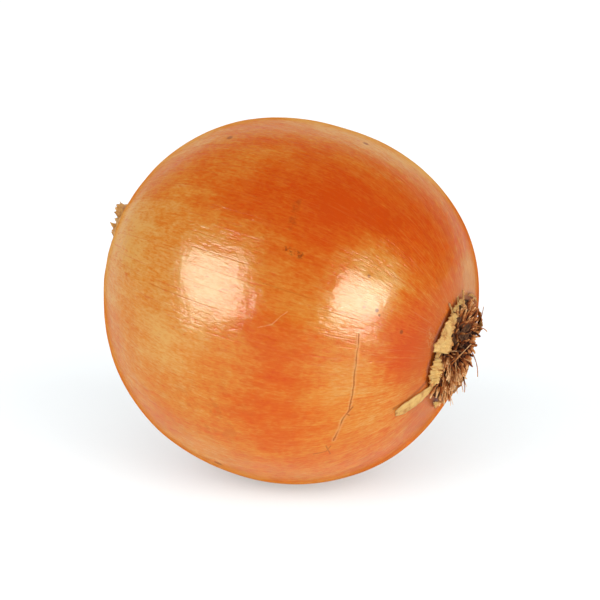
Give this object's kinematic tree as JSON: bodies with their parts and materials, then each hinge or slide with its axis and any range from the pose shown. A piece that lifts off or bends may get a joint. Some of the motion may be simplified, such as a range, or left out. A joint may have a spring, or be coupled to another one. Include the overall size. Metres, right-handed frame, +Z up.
{
  "type": "onion",
  "caption": "Whole dry bulb onion with smooth copper-orange skin, a short dried neck and a matted tuft of dry roots, lying on its side on a small flat spot.",
  "frame": {"origin": "centre of the small flat spot that the onion lies on", "axes": "+Z up from the surface it lies on; +X level, from the neck towards the root end; +Y to the left of that. The onion's own axis dips 10.8 degrees below +X at the root end."},
  "size_m": [0.0965, 0.0859, 0.0861],
  "materials": {
    "bulb_skin": "satin",
    "root_plate": "matte",
    "dry_root": "matte",
    "torn_skin": "matte",
    "neck_leaf": "matte"
  },
  "bodies": {
    "root": {"bulb": "bulb_skin", "root_plate": "root_plate", "root_01": "dry_root", "root_02": "dry_root", "root_03": "dry_root", "root_04": "dry_root", "root_05": "dry_root", "root_06": "dry_root", "root_07": "dry_root", "root_08": "dry_root", "root_09": "dry_root", "root_10": "dry_root", "root_11": "dry_root", "root_12": "dry_root", "root_13": "dry_root", "root_14": "dry_root", "root_15": "dry_root", "root_16": "dry_root", "root_17": "dry_root", "root_18": "dry_root", "root_19": "dry_root", "root_20": "dry_root", "root_21": "dry_root", "root_22": "dry_root", "root_23": "dry_root", "root_24": "dry_root", "root_25": "dry_root", "root_26": "dry_root", "root_27": "dry_root", "root_28": "dry_root", "root_29": "dry_root", "root_30": "dry_root", "root_31": "dry_root", "root_32": "dry_root", "root_33": "dry_root", "root_34": "dry_root", "root_35": "dry_root", "root_36": "dry_root", "skin_flap_1": "torn_skin", "skin_flap_2": "torn_skin", "skin_flap_3": "torn_skin", "skin_flap_4": "torn_skin", "skin_flap_5": "torn_skin", "skin_flap_6": "torn_skin", "skin_flap_7": "torn_skin", "skin_flap_8": "torn_skin", "skin_flap_9": "torn_skin", "neck_leaf_1": "neck_leaf", "neck_leaf_2": "neck_leaf", "neck_leaf_3": "neck_leaf", "neck_leaf_4": "neck_leaf", "neck_leaf_5": "neck_leaf"}
  },
  "joints": []
}
